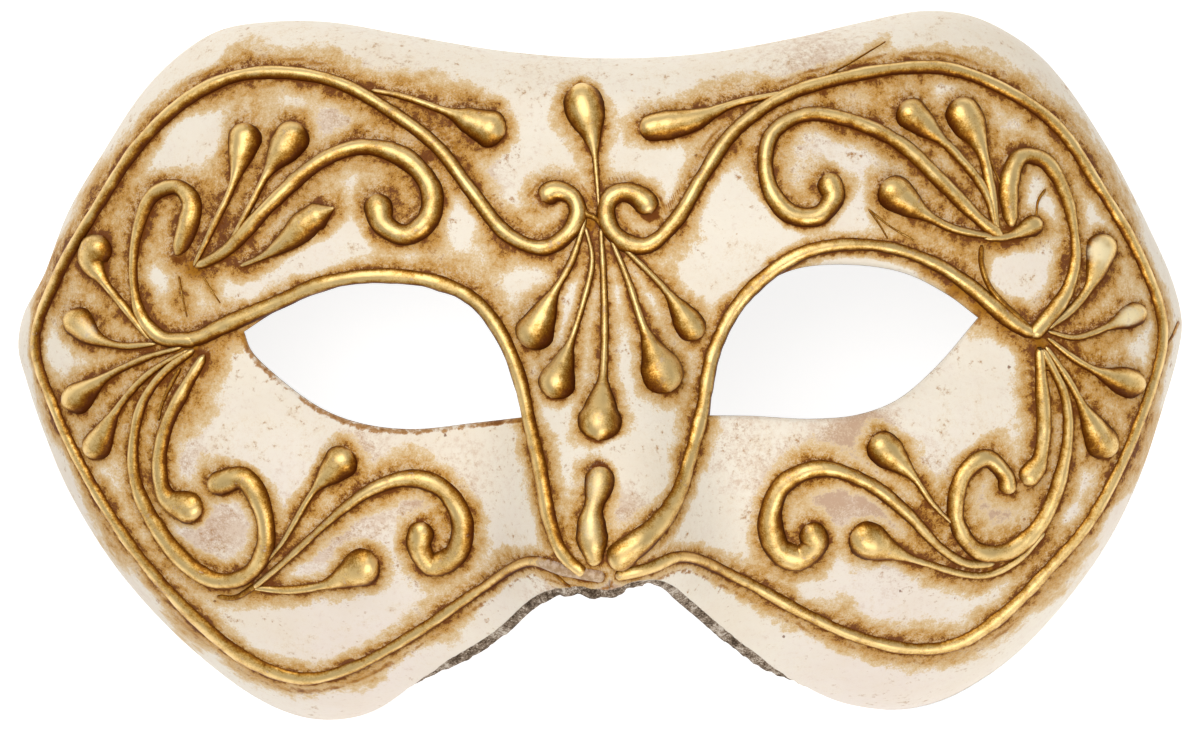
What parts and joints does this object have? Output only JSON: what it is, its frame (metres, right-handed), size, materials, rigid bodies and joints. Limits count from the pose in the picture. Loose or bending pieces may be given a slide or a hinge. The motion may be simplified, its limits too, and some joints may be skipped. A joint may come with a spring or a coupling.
{
  "type": "colombina mask",
  "caption": "Half mask that covers the brow, cheeks and upper nose, with two almond eye holes and raised piped scrollwork on a moulded papier-mache shell",
  "frame": {"origin": "Centre of the bounding box in plan, on the plane that the rim lies on", "axes": "+X to the right of someone looking at the face, +Y towards the forehead, +Z out of the face"},
  "size_m": [0.179, 0.1071, 0.0608],
  "materials": {
    "gesso": "ivory ground coat with brown patina",
    "gold_paint": "satin gold paint on the piped relief"
  },
  "bodies": {
    "root": {"colombina_mask": "gesso"}
  },
  "joints": []
}
